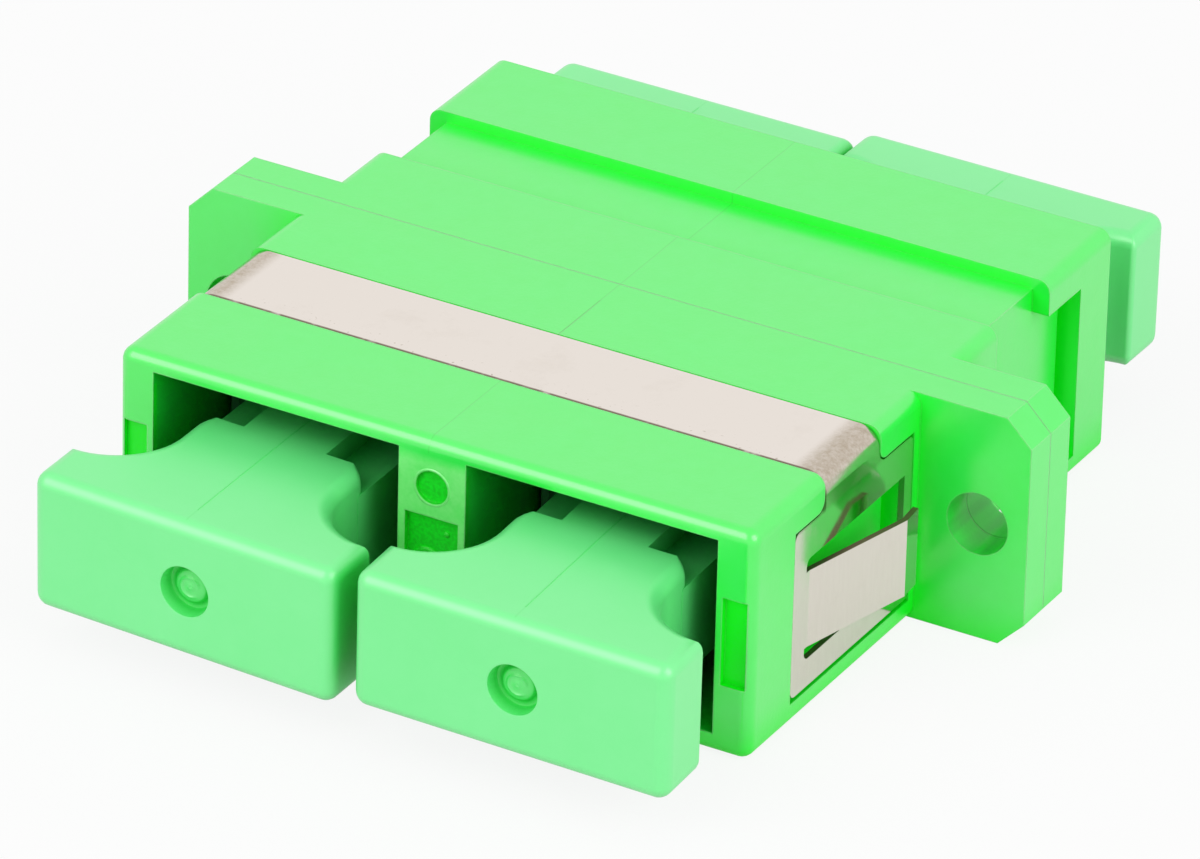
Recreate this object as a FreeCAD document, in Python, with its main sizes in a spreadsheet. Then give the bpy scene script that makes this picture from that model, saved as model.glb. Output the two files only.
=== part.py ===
import FreeCAD, Part
import os
from types import SimpleNamespace

import Sketcher
from FreeCAD import Vector

# Duplex push-pull fibre adapter for a panel cut-out, with a dust plug in each of its four ports.
# The frame: +Z up, X along the flange, the clip side faces -Y. The origin is the middle of the
# flange's front face, the face that seats on the panel. All sizes are millimetres.

doc = FreeCAD.newDocument("fibre_adapter")
sheet = doc.addObject("Spreadsheet::Sheet", "Sizes")

SIZES = {
    # moulded body
    "body_width": 25.6,
    "body_height": 9.05,
    "front_reach": 12.0,  # flange front face to the front end
    "flange_width": 34.4,
    "flange_thick": 2.9,
    "flange_corner": 1.0,
    "hole_bore": 2.4,
    "hole_share": 0.54545,  # of the way from the body's side to the flange's end
    "shoulder_length": 2.8,  # full section behind the flange
    "waist_length": 4.0,  # narrowed section behind the shoulder
    "waist_side_step": 0.7,
    "waist_top_step": 0.45,
    "collar_length": 4.8,  # full section at the rear end
    "front_edge_round": 0.45,
    "rear_edge_cut": 0.1,
    "corner_round": 0.5,  # long top and bottom edges of the body
    # walls round the two ports, which give the ports their size and their 12.7 pitch
    "side_wall": 1.45,
    "post_width": 2.7,
    "roof_wall": 0.6,
    "floor_wall": 0.8,
    "seat_ledge": 0.4,  # how far the holder's seat is wider than the port, each side
    # shallow recesses and moulding marks in the end faces
    "jamb_rim": 0.25,
    "jamb_recess_height": 3.46,
    "post_rim": 0.28,
    "post_recess_height": 2.9,
    "face_recess_depth": 0.25,
    "pin_mark_bore": 1.3,
    "pin_mark_depth": 0.15,
    "pin_mark_rise": 2.63,
    # cut-backs in the rear collar's sides
    "notch_length": 2.48,
    "notch_drop": 1.375,  # below the top
    "notch_foot": 0.825,  # above the bottom
    "relief_width": 0.4,
    "relief_depth": 0.5,
    # spring clip and its seat
    "clip_sheet": 0.22,
    "clip_gap": 0.04,
    "band_front": -6.95,  # places along Y
    "band_width": 3.95,
    "wing_front": -9.02,
    "wing_back": -0.46,
    "wing_drop": 1.425,  # the wings' top edge below the body's top
    "wing_foot": 1.065,  # their bottom edge above the body's bottom
    "clip_bend": 0.55,  # inside radius of the two top bends
    "wing_corner": 0.3,
    "neck_corner": 0.5,  # where the band widens into the wings
    "window_front": -8.12,
    "window_back": -1.0,
    "window_drop": 1.4,  # below the wing's top edge
    "window_foot": 1.12,  # above its bottom edge
    "tongue_root": -7.9,
    "tongue_slot": 0.495,  # above and below the tongue
    "tongue_reach": 1.2,  # how far the tongue springs out of the wing
    "tongue_knee": -2.98,
    "tongue_tip": -2.02,  # leaves room for a 2 mm panel
    "tip_return": 0.08,
    "spring_pocket_depth": 0.45,
    "spring_slot_depth": 0.75,
    "spring_slot_width": 0.4,
    # inner latch holders and sleeves
    "holder_plate": 1.2,
    "holder_play": 0.05,
    "barrel_diameter": 3.9,
    "barrel_bore": 3.3,
    "barrel_length": 6.4,  # from the parting plane
    "barrel_lip": 0.6,
    "barrel_mouth": 2.7,
    "latch_length": 8.5,  # from the parting plane
    "latch_thick": 0.6,
    "latch_clear": 0.25,  # between an arm and the port's side
    "latch_height": 3.0,
    "hook_throw": 0.25,
    "hook_length": 1.3,
    "sleeve_diameter": 3.2,
    "sleeve_bore": 2.5,
    "sleeve_length": 11.4,
    "sleeve_slit": 0.35,
    # dust plugs
    "grip_gap": 0.3,  # between the grips of two neighbours
    "grip_height": 5.45,
    "grip_length": 6.7,
    "ear_thick": 2.55,
    "neck_clear": 1.6,  # between the neck and the port's side
    "ear_tip_flat": 0.2,  # beside each finger hollow
    "grip_round": 0.55,
    "finger_edge_cut": 0.3,
    "key_width": 3.4,
    "shank_clear": 1.55,
    "shank_height": 3.7,
    "plug_length": 14.2,
    "plug_bore": 4.8,
    "plug_bore_depth": 8.5,
    "shank_lead": 0.35,
    "dimple_aside": 0.15,
    "dimple_bore": 1.95,
    "dimple_depth": 0.6,
    # how each plug sits, loose in its port: out of the port, aside, below the middle, and turned
    "stand_front_left": 6.2,
    "aside_front_left": -0.07,
    "sag_front_left": 0.42,
    "yaw_front_left": -1.5,
    "cant_front_left": 1.0,
    "stand_front_right": 6.45,
    "aside_front_right": 0.5,
    "sag_front_right": 0.17,
    "yaw_front_right": 0.8,
    "cant_front_right": 1.2,
    "stand_rear_left": 5.1,
    "aside_rear_left": -0.08,
    "sag_rear_left": 0.35,
    "yaw_rear_left": 0.0,
    "cant_rear_left": 0.0,
    "stand_rear_right": 5.5,
    "aside_rear_right": -0.28,
    "sag_rear_right": 0.1,
    "yaw_rear_right": 0.0,
    "cant_rear_right": 0.0,
    "droop_front": 1.8,  # degrees the outer end hangs down
    "droop_rear": 0.8,
}


class Size(float):
    """A number that keeps the sheet expression it was worked out from."""

    def __new__(cls, value, text):
        size = super().__new__(cls, value)
        size.text = text
        return size

    def __add__(self, other):
        return Size(float(self) + other, f"({self.text} + {words(other)})")

    def __radd__(self, other):
        return Size(other + float(self), f"({words(other)} + {self.text})")

    def __sub__(self, other):
        return Size(float(self) - other, f"({self.text} - {words(other)})")

    def __rsub__(self, other):
        return Size(other - float(self), f"({words(other)} - {self.text})")

    def __mul__(self, other):
        return Size(float(self) * other, f"({self.text} * {words(other)})")

    def __rmul__(self, other):
        return Size(other * float(self), f"({words(other)} * {self.text})")

    def __truediv__(self, other):
        return Size(float(self) / other, f"({self.text} / {words(other)})")

    def __neg__(self):
        return Size(-float(self), f"(-{self.text})")


def words(value):
    return value.text if isinstance(value, Size) else f"({float(value)!r})"


for row, (alias, number) in enumerate(SIZES.items(), start=1):
    sheet.set(f"A{row}", alias)
    sheet.set(f"B{row}", str(number))
    sheet.setAlias(f"B{row}", alias)
doc.recompute()
d = SimpleNamespace(**{alias: Size(number, f"Sizes.{alias}") for alias, number in SIZES.items()})

# Stations along Y and half sizes that several pieces share.
parting = d.flange_thick / 2
shoulder_end = d.flange_thick + d.shoulder_length
waist_end = shoulder_end + d.waist_length
rear_end = waist_end + d.collar_length
front_end = -d.front_reach
half_width = d.body_width / 2
half_height = d.body_height / 2
port_width = (d.body_width - 2 * d.side_wall - d.post_width) / 2
port_pitch = port_width + d.post_width
port_x = port_pitch / 2
port_height = d.body_height - d.roof_wall - d.floor_wall
port_rise = (d.floor_wall - d.roof_wall) / 2
hole_x = half_width + (d.flange_width / 2 - half_width) * d.hole_share
wing_top = half_height - d.wing_drop
wing_bottom = d.wing_foot - half_height
window_top = wing_top - d.window_drop
window_bottom = wing_bottom + d.window_foot
notch_top = half_height - d.notch_drop
notch_bottom = d.notch_foot - half_height
waist_half_width = half_width - d.waist_side_step
waist_half_height = half_height - d.waist_top_step
clip_depth = d.clip_sheet + d.clip_gap


# Sketch and feature helpers.

def new_body(name):
    body = doc.addObject("PartDesign::Body", name)
    body.Label = name
    return body


def new_sketch(body, name, role, offset=None):
    """A sketch on one of the body's own origin planes, moved along its normal by offset."""
    sketch = body.newObject("Sketcher::SketchObject", f"{body.Name}_{name}_outline")
    plane = next(item for item in body.Origin.OriginFeatures if item.Role == role)
    sketch.AttachmentSupport = [(plane, "")]
    sketch.MapMode = "FlatFace"
    if offset is not None:
        sketch.setExpression("AttachmentOffset.Base.z", words(offset))
    return sketch


def hold(sketch, kind, geometry, vertex, value):
    """Holds a vertex at a signed distance from the sketch's origin."""
    index = sketch.addConstraint(Sketcher.Constraint(kind, -1, 1, geometry, vertex, float(value)))
    sketch.setExpression(f"Constraints[{index}]", words(value))


def polygon(sketch, points):
    """A closed outline of straight lines through the points, each held by its two sizes."""
    first = sketch.GeometryCount
    count = len(points)
    for here, there in zip(points, points[1:] + points[:1]):
        start = Vector(float(here[0]), float(here[1]), 0)
        finish = Vector(float(there[0]), float(there[1]), 0)
        sketch.addGeometry(Part.LineSegment(start, finish), False)
    for step in range(count):
        after = first + (step + 1) % count
        sketch.addConstraint(Sketcher.Constraint("Coincident", first + step, 2, after, 1))
    for step, (across, up) in enumerate(points):
        hold(sketch, "DistanceX", first + step, 1, across)
        hold(sketch, "DistanceY", first + step, 1, up)


def rectangle(sketch, left, right, low, high):
    polygon(sketch, [(left, low), (right, low), (right, high), (left, high)])


def circle(sketch, across, up, diameter):
    centre = Vector(float(across), float(up), 0)
    index = sketch.addGeometry(Part.Circle(centre, Vector(0, 0, 1), float(diameter) / 2), False)
    hold(sketch, "DistanceX", index, 3, across)
    hold(sketch, "DistanceY", index, 3, up)
    ring = sketch.addConstraint(Sketcher.Constraint("Diameter", index, float(diameter)))
    sketch.setExpression(f"Constraints[{ring}]", words(diameter))


def rounded_corner(sketch, across, up, inward_across, inward_up, radius):
    """What a rounding takes off the corner at (across, up): two lines and a quarter circle."""
    first = sketch.GeometryCount
    corner = Vector(float(across), float(up), 0)
    on_level = corner + Vector(inward_across * float(radius), 0, 0)
    on_side = corner + Vector(0, inward_up * float(radius), 0)
    centre = on_level + Vector(0, inward_up * float(radius), 0)
    middle = centre + (corner - centre).normalize() * float(radius)
    sketch.addGeometry(Part.LineSegment(corner, on_level), False)
    sketch.addGeometry(Part.LineSegment(on_side, corner), False)
    arc = sketch.addGeometry(Part.Arc(on_level, middle, on_side), False)
    start, finish = (1, 2) if (sketch.getPoint(arc, 1) - on_level).Length < 1e-6 else (2, 1)
    sketch.addConstraint(Sketcher.Constraint("Coincident", first + 1, 2, first, 1))
    sketch.addConstraint(Sketcher.Constraint("Coincident", first, 2, arc, start))
    sketch.addConstraint(Sketcher.Constraint("Coincident", first + 1, 1, arc, finish))
    hold(sketch, "DistanceX", first, 1, across)
    hold(sketch, "DistanceY", first, 1, up)
    hold(sketch, "DistanceX", first, 2, across + inward_across * radius)
    hold(sketch, "DistanceY", first, 2, up)
    hold(sketch, "DistanceX", first + 1, 1, across)
    hold(sketch, "DistanceY", first + 1, 1, up + inward_up * radius)
    ring = sketch.addConstraint(Sketcher.Constraint("Radius", arc, float(radius)))
    sketch.setExpression(f"Constraints[{ring}]", words(radius))


def pad(body, name, sketch, length, reverse=False, both_ways=False):
    feature = body.newObject("PartDesign::Pad", f"{body.Name}_{name}")
    feature.Profile = sketch
    feature.setExpression("Length", words(length))
    feature.Reversed = reverse
    feature.Midplane = both_ways
    doc.recompute()
    return feature


def pocket(body, name, sketch, depth, reverse=False):
    """Cuts against the sketch's normal, or along it when reversed, and makes sure that it cuts."""
    before = body.Shape.Volume
    feature = body.newObject("PartDesign::Pocket", f"{body.Name}_{name}")
    feature.Profile = sketch
    feature.setExpression("Length", words(depth))
    feature.Reversed = reverse
    doc.recompute()
    if body.Shape.Volume >= before:
        raise RuntimeError(f"{feature.Name} cuts nothing")
    return feature


def mirrored(body, name, features, role):
    feature = body.newObject("PartDesign::Mirrored", f"{body.Name}_{name}")
    plane = next(item for item in body.Origin.OriginFeatures if item.Role == role)
    feature.Originals = features
    feature.MirrorPlane = (plane, [""])
    body.Tip = feature
    doc.recompute()
    return feature


def dress(body, name, kind, field, size, chosen):
    """Puts a fillet or chamfer on every edge of the body that the test chooses by its box."""
    base = body.Tip
    edges = [f"Edge{i}" for i, edge in enumerate(base.Shape.Edges, start=1) if chosen(edge.BoundBox)]
    if not edges:
        raise RuntimeError(f"{name} finds no edge on {body.Label}")
    feature = body.newObject(kind, f"{body.Name}_{name}")
    feature.Base = (base, edges)
    feature.setExpression(field, words(size))
    doc.recompute()


def rounded(body, name, radius, chosen):
    dress(body, name, "PartDesign::Fillet", "Radius", radius, chosen)


def chamfered(body, name, size, chosen):
    dress(body, name, "PartDesign::Chamfer", "Size", size, chosen)


def near(value, target):
    return abs(value - target) < 1e-4


def flat_at(low, high, target):
    """True for an edge that lies in one plane at the target place."""
    return near(low, target) and near(high, target)


def place(body, across, along, up, yaw=0, cant=0, droop=0):
    """Puts a piece in the common frame by its origin and three angles, about Z, Y and X."""
    spot = "; ".join(words(value) for value in (across, along, up))
    turn = "; ".join(words(value) for value in (yaw, cant, droop))
    body.setExpression("Placement", f"placement(vector({spot}); rotation({turn}))")
    doc.recompute()


# The two body mouldings. Each has half of the flange, and they are welded face to face.

def flange_half(body, start=None):
    """The outline of the flange with its cut corners, for one half of its thickness."""
    outline = new_sketch(body, "flange", "XZ_Plane", start)
    half = d.flange_width / 2
    low = -half_height
    cut = d.flange_corner
    top = half_height
    corners = [(-half + cut, low), (half - cut, low), (half, low + cut), (half, top - cut)]
    corners += [(half - cut, top), (-half + cut, top), (-half, top - cut), (-half, low + cut)]
    polygon(outline, corners)
    return outline


def flange_holes(body, start, depth, reverse):
    outline = new_sketch(body, "holes", "XZ_Plane", -start)
    for side in (-1, 1):
        circle(outline, side * hole_x, 0, d.hole_bore)
    pocket(body, "holes", outline, depth, reverse)


def ports(body, mouth, depth, reverse):
    """Both port cavities, open at the mouth."""
    outline = new_sketch(body, "ports", "XZ_Plane", -mouth)
    for side in (-1, 1):
        middle = side * port_x
        reach = port_width / 2
        rise = port_height / 2
        rectangle(outline, middle - reach, middle + reach, port_rise - rise, port_rise + rise)
    pocket(body, "ports", outline, depth, reverse)


def holder_seats(body, reverse):
    """The wider seat at the parting plane that traps each latch holder's plate."""
    outline = new_sketch(body, "seats", "XZ_Plane", -parting)
    for side in (-1, 1):
        middle = side * port_x
        reach = port_width / 2 + d.seat_ledge
        rise = port_height / 2
        rectangle(outline, middle - reach, middle + reach, port_rise - rise, port_rise + rise)
    pocket(body, "seats", outline, d.holder_plate + d.holder_play, reverse)


def face_recesses(body, mouth, reverse):
    """Shallow recesses in the end face's jambs and centre post."""
    outline = new_sketch(body, "recesses", "XZ_Plane", -mouth)
    for side in (-1, 1):
        middle = side * (half_width - d.side_wall / 2)
        reach = d.side_wall / 2 - d.jamb_rim
        rise = d.jamb_recess_height / 2
        rectangle(outline, middle - reach, middle + reach, -rise, rise)
    reach = d.post_width / 2 - d.post_rim
    rectangle(outline, -reach, reach, -(d.post_recess_height / 2), d.post_recess_height / 2)
    pocket(body, "recesses", outline, d.face_recess_depth, reverse)


def on_long_edge(box):
    """A long edge of the body's full section, along Y."""
    across = flat_at(abs(box.XMin), abs(box.XMax), float(half_width)) and near(box.XMin, box.XMax)
    up = flat_at(abs(box.ZMin), abs(box.ZMax), float(half_height)) and near(box.ZMin, box.ZMax)
    return across and up


def front_housing():
    body = new_body("front_housing")
    outline = new_sketch(body, "body", "XZ_Plane", -parting)
    rectangle(outline, -half_width, half_width, -half_height, half_height)
    pad(body, "body", outline, d.front_reach + parting)
    rounded(body, "long_edges", d.corner_round, on_long_edge)
    pad(body, "flange", flange_half(body), parting, reverse=True)
    end = float(front_end)
    rounded(body, "front_edges", d.front_edge_round, lambda box: flat_at(box.YMin, box.YMax, end))
    ports(body, front_end, d.front_reach + parting, reverse=False)
    holder_seats(body, reverse=True)
    face_recesses(body, front_end, reverse=False)
    outline = new_sketch(body, "pin_mark", "XZ_Plane", -front_end)
    circle(outline, 0, d.pin_mark_rise, d.pin_mark_bore)
    pocket(body, "pin_mark", outline, d.pin_mark_depth)
    flange_holes(body, parting, parting, reverse=True)

    # The clip's seat: a channel over the top and a recess down each side.
    seat = new_sketch(body, "clip_channel", "XY_Plane", half_height)
    back = d.band_front + d.band_width
    rectangle(seat, -half_width, half_width, d.band_front - d.clip_gap, back + d.clip_gap)
    pocket(body, "clip_channel", seat, clip_depth)
    seat = new_sketch(body, "clip_side", "YZ_Plane", half_width)
    top = wing_top + 2 * d.clip_gap
    low = wing_bottom - 4 * d.clip_gap
    front = d.wing_front - d.clip_gap
    rear = d.wing_back + d.clip_gap
    channel_front = d.band_front - d.clip_gap
    channel_back = back + d.clip_gap
    channel = [(front, low), (rear, low), (rear, top), (channel_back, top), (channel_back, half_height)]
    channel += [(channel_front, half_height), (channel_front, top), (front, top)]
    polygon(seat, channel)
    right_seat = pocket(body, "clip_side", seat, clip_depth)
    floor = half_width - clip_depth
    seat = new_sketch(body, "spring_pocket", "YZ_Plane", floor)
    rectangle(seat, d.window_front, d.window_back - d.spring_slot_width, window_bottom, window_top)
    right_pocket = pocket(body, "spring_pocket", seat, d.spring_pocket_depth)
    seat = new_sketch(body, "spring_slot", "YZ_Plane", floor)
    rectangle(seat, d.window_back - d.spring_slot_width, d.window_back, window_bottom, window_top)
    right_slot = pocket(body, "spring_slot", seat, d.spring_slot_depth)
    mirrored(body, "left_seat", [right_seat, right_pocket, right_slot], "YZ_Plane")

    # The clip's bend wraps a rounded corner of the moulding.
    corner_x = float(half_width - clip_depth)
    corner_z = float(half_height - clip_depth)

    def on_clip_corner(box):
        return near(max(abs(box.XMin), abs(box.XMax)), corner_x) and near(box.XMin, box.XMax) \
            and flat_at(box.ZMin, box.ZMax, corner_z)

    rounded(body, "clip_corner", d.clip_bend, on_clip_corner)

    def on_channel_corner(box):
        beside = near(box.YMin, channel_front) or near(box.YMin, channel_back)
        level = near(box.YMin, box.YMax) and flat_at(box.ZMin, box.ZMax, top)
        return beside and level and near(box.XLength, clip_depth)

    rounded(body, "channel_corners", d.neck_corner - d.clip_gap, on_channel_corner)
    return body


def rear_housing():
    body = new_body("rear_housing")
    outline = new_sketch(body, "shoulder", "XZ_Plane", -parting)
    rectangle(outline, -half_width, half_width, -half_height, half_height)
    pad(body, "shoulder", outline, shoulder_end - parting, reverse=True)
    outline = new_sketch(body, "waist", "XZ_Plane", -shoulder_end)
    rectangle(outline, -waist_half_width, waist_half_width, -waist_half_height, waist_half_height)
    pad(body, "waist", outline, d.waist_length, reverse=True)
    outline = new_sketch(body, "collar", "XZ_Plane", -waist_end)
    rectangle(outline, -half_width, half_width, -half_height, half_height)
    pad(body, "collar", outline, d.collar_length, reverse=True)
    rounded(body, "long_edges", d.corner_round, on_long_edge)
    pad(body, "flange", flange_half(body, -parting), parting, reverse=True)
    end = float(rear_end)
    chamfered(body, "rear_edges", d.rear_edge_cut, lambda box: flat_at(box.YMin, box.YMax, end))
    ports(body, rear_end, rear_end - parting, reverse=True)
    holder_seats(body, reverse=False)
    face_recesses(body, rear_end, reverse=True)
    flange_holes(body, d.flange_thick, parting, reverse=True)

    # Each side of the collar is cut back to the waist below its top, and relieved at the corner.
    side = new_sketch(body, "notch", "YZ_Plane", half_width)
    rectangle(side, waist_end, waist_end + d.notch_length, notch_bottom, notch_top)
    right_notch = pocket(body, "notch", side, d.waist_side_step)
    side = new_sketch(body, "relief", "YZ_Plane", waist_half_width)
    notch_end = waist_end + d.notch_length
    rectangle(side, notch_end - d.relief_width, notch_end, notch_bottom, notch_top)
    right_relief = pocket(body, "relief", side, d.relief_depth)
    mirrored(body, "left_notch", [right_notch, right_relief], "YZ_Plane")
    return body


# The spring clip: one strip of stainless sheet, cut and folded.

def spring_clip():
    body = new_body("spring_clip")
    outer = half_width - d.clip_gap / 2
    inner = outer - d.clip_sheet
    crown = half_height - d.clip_gap / 2
    under = crown - d.clip_sheet
    outline = new_sketch(body, "band", "XZ_Plane", -d.band_front)
    top = wing_top
    strip = [(-outer, top), (-inner, top), (-inner, under), (inner, under), (inner, top), (outer, top)]
    strip += [(outer, crown), (-outer, crown)]
    polygon(outline, strip)
    pad(body, "band", outline, d.band_width, reverse=True)
    bend = d.clip_bend + d.clip_gap

    def on_bend(across, up):
        def chosen(box):
            return near(max(abs(box.XMin), abs(box.XMax)), float(across)) and near(box.XMin, box.XMax) \
                and flat_at(box.ZMin, box.ZMax, float(up))
        return chosen

    rounded(body, "inside_bend", bend, on_bend(inner, under))
    rounded(body, "outside_bend", bend + d.clip_sheet, on_bend(outer, crown))

    outline = new_sketch(body, "wing", "YZ_Plane", inner)
    rectangle(outline, d.wing_front, d.wing_back, wing_bottom, wing_top)
    rectangle(outline, d.window_front, d.window_back, window_bottom, window_top)
    wing = pad(body, "wing", outline, d.clip_sheet)
    outline = new_sketch(body, "tongue", "XY_Plane", (window_top + window_bottom) / 2)
    knee_out = outer + d.tongue_reach
    knee_in = inner + d.tongue_reach
    bent = [(inner, d.window_front), (outer, d.window_front), (outer, d.tongue_root)]
    bent += [(knee_out, d.tongue_knee), (knee_out - d.tip_return, d.tongue_tip)]
    bent += [(knee_in - d.tip_return, d.tongue_tip), (knee_in, d.tongue_knee), (inner, d.tongue_root)]
    polygon(outline, bent)
    tongue_height = window_top - window_bottom - 2 * d.tongue_slot
    tongue = pad(body, "tongue", outline, tongue_height, both_ways=True)
    mirrored(body, "left_wing", [wing, tongue], "YZ_Plane")

    def on_corner(ends, edges):
        """An edge through the sheet at one of the places along Y and one of those along Z."""
        def chosen(box):
            level = near(box.YMin, box.YMax) and near(box.ZMin, box.ZMax)
            through = level and near(box.XLength, d.clip_sheet)
            at_end = any(near(box.YMin, place) for place in ends)
            return through and at_end and any(near(box.ZMin, place) for place in edges)
        return chosen

    wing_edges = (wing_bottom, wing_top)
    rounded(body, "wing_corners", d.wing_corner, on_corner((d.wing_front, d.wing_back), wing_edges))
    window = on_corner((d.window_front,), (window_bottom, window_top))
    rounded(body, "window_corners", d.wing_corner, window)
    band_back = d.band_front + d.band_width
    rounded(body, "neck_corners", d.neck_corner, on_corner((d.band_front, band_back), (wing_top,)))
    return body


# The latch holder that grips a connector: a plate, a barrel for the sleeve and two sprung hooks.

def latch_holder(name):
    body = new_body(name)
    plate = new_sketch(body, "plate", "XZ_Plane")
    reach = port_width / 2 + d.seat_ledge - d.holder_play
    rise = port_height / 2 - d.holder_play
    rectangle(plate, -reach, reach, -rise, rise)
    pad(body, "plate", plate, d.holder_plate)
    barrel = new_sketch(body, "barrel", "XZ_Plane")
    circle(barrel, 0, 0, d.barrel_diameter)
    pad(body, "barrel", barrel, d.barrel_length)
    bore = new_sketch(body, "bore", "XZ_Plane")
    circle(bore, 0, 0, d.barrel_bore)
    pocket(body, "bore", bore, d.barrel_length - d.barrel_lip, reverse=True)
    mouth = new_sketch(body, "mouth", "XZ_Plane", d.barrel_length)
    circle(mouth, 0, 0, d.barrel_mouth)
    pocket(body, "mouth", mouth, d.barrel_lip)
    arm = new_sketch(body, "arm", "XY_Plane")
    outside = port_width / 2 - d.latch_clear
    inside = outside - d.latch_thick
    tip = -d.latch_length
    catch = tip + d.hook_length
    hook = inside - d.hook_throw
    profile = [(inside, -d.holder_plate), (inside, catch), (hook, catch)]
    profile += [(hook, catch - d.hook_length / 2), (outside - d.latch_thick / 2, tip)]
    profile += [(outside, tip), (outside, -d.holder_plate)]
    polygon(arm, profile)
    right_arm = pad(body, "arm", arm, d.latch_height, both_ways=True)
    mirrored(body, "other_arm", [right_arm], "YZ_Plane")
    return body


def alignment_sleeve(name):
    """A split ceramic tube that floats in two facing barrels and lines up the ferrules."""
    body = new_body(name)
    ring = new_sketch(body, "tube", "XZ_Plane")
    circle(ring, 0, 0, d.sleeve_diameter)
    circle(ring, 0, 0, d.sleeve_bore)
    pad(body, "tube", ring, d.sleeve_length, both_ways=True)
    slit = new_sketch(body, "slit", "XY_Plane", d.sleeve_diameter)
    half = d.sleeve_slit / 2
    rectangle(slit, -half, half, -(d.sleeve_length / 2), d.sleeve_length / 2)
    pocket(body, "slit", slit, d.sleeve_diameter)
    return body


# The dust plug: a finger grip, a keyed shank and a blind bore that clears the barrel.

def dust_plug(name):
    body = new_body(name)
    grip = new_sketch(body, "grip", "XY_Plane")
    wide = (port_pitch - d.grip_gap) / 2
    neck = port_width / 2 - d.neck_clear
    high = d.grip_height / 2
    plan = [(-wide, 0), (wide, 0), (wide, d.ear_thick), (neck, d.ear_thick), (neck, d.grip_length)]
    plan += [(-neck, d.grip_length), (-neck, d.ear_thick), (-wide, d.ear_thick)]
    polygon(grip, plan)
    pad(body, "grip", grip, d.grip_height, both_ways=True)

    def in_finger_corner(box):
        upright = near(abs(box.XMin), neck) and near(box.XMin, box.XMax)
        return upright and flat_at(box.YMin, box.YMax, d.ear_thick)

    rounded(body, "finger_hollows", wide - neck - d.ear_tip_flat, in_finger_corner)

    def on_finger_edge(box):
        level = flat_at(abs(box.ZMin), abs(box.ZMax), high) and near(box.ZMin, box.ZMax)
        inside = not near(box.XMax, wide) and not near(box.XMin, -wide)
        return level and inside and not flat_at(box.YMin, box.YMax, float(d.grip_length))

    chamfered(body, "finger_edges", d.finger_edge_cut, on_finger_edge)

    # The outer edges are rounded in plan, then in front view, then in side view.
    outline = new_sketch(body, "upright_edges", "XY_Plane", high)
    for side in (-1, 1):
        rounded_corner(outline, side * wide, 0 * wide, -side, 1, d.grip_round)
        rounded_corner(outline, side * neck, d.grip_length, -side, -1, d.grip_round)
    pocket(body, "upright_edges", outline, d.grip_height)
    outline = new_sketch(body, "ear_ends", "XZ_Plane")
    for side in (-1, 1):
        for face in (-1, 1):
            rounded_corner(outline, side * wide, face * high, -side, -face, d.grip_round)
    pocket(body, "ear_ends", outline, d.ear_thick)
    outline = new_sketch(body, "face_edges", "YZ_Plane", wide)
    for face in (-1, 1):
        rounded_corner(outline, 0 * wide, face * high, 1, -face, d.grip_round)
    pocket(body, "face_edges", outline, 2 * wide)

    shank = new_sketch(body, "shank", "XZ_Plane", -(d.ear_thick + d.grip_round))
    shank_reach = port_width / 2 - d.shank_clear
    rectangle(shank, -shank_reach, shank_reach, -(d.shank_height / 2), d.shank_height / 2)
    reach = d.plug_length - d.ear_thick - d.grip_round
    pad(body, "shank", shank, reach, reverse=True)
    key = new_sketch(body, "key", "XZ_Plane", -(d.ear_thick + d.grip_round))
    rectangle(key, -(d.key_width / 2), d.key_width / 2, -high, high)
    pad(body, "key", key, reach, reverse=True)
    end = float(d.plug_length)
    chamfered(body, "lead_in", d.shank_lead, lambda box: flat_at(box.YMin, box.YMax, end))
    bore = new_sketch(body, "bore", "XZ_Plane", -d.plug_length)
    circle(bore, 0, 0, d.plug_bore)
    pocket(body, "bore", bore, d.plug_bore_depth, reverse=True)
    dimple = new_sketch(body, "dimple", "XZ_Plane")
    circle(dimple, d.dimple_aside, 0, d.dimple_bore)
    pocket(body, "dimple", dimple, d.dimple_depth)
    return body


front_housing()
rear_housing()
spring_clip()
for side, across in (("left", -port_x), ("right", port_x)):
    place(latch_holder(f"front_latch_holder_{side}"), across, parting, port_rise)
    place(latch_holder(f"rear_latch_holder_{side}"), across, parting, port_rise, yaw=180)
    place(alignment_sleeve(f"alignment_sleeve_{side}"), across, parting, port_rise)
    for end, mouth, outward, facing in (("front", front_end, -1, 0), ("rear", rear_end, 1, 180)):
        pose = [getattr(d, f"{word}_{end}_{side}") for word in ("stand", "aside", "sag", "yaw", "cant")]
        stand, aside, sag, yaw, cant = pose
        plug = dust_plug(f"{end}_dust_plug_{side}")
        spot = (across + aside, mouth + outward * stand, -sag)
        place(plug, *spot, facing + yaw, cant, getattr(d, f"droop_{end}"))

doc.recompute()
for item in doc.Objects:
    if "Invalid" in item.State or "Error" in item.State:
        raise RuntimeError(f"{item.Name} did not build: {item.State}")
os.makedirs("parts", exist_ok=True)
for body in doc.findObjects("PartDesign::Body"):
    if body.Shape.isNull() or not body.Shape.isValid():
        raise RuntimeError(f"{body.Label} has no valid shape")
    body.Shape.exportStep(f"parts/{body.Label}.step")
    print(body.Label, len(body.Shape.Solids), "solid", round(body.Shape.Volume, 2), "mm3")
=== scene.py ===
import bmesh
import bpy
import math
from mathutils import Matrix, Vector


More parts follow.
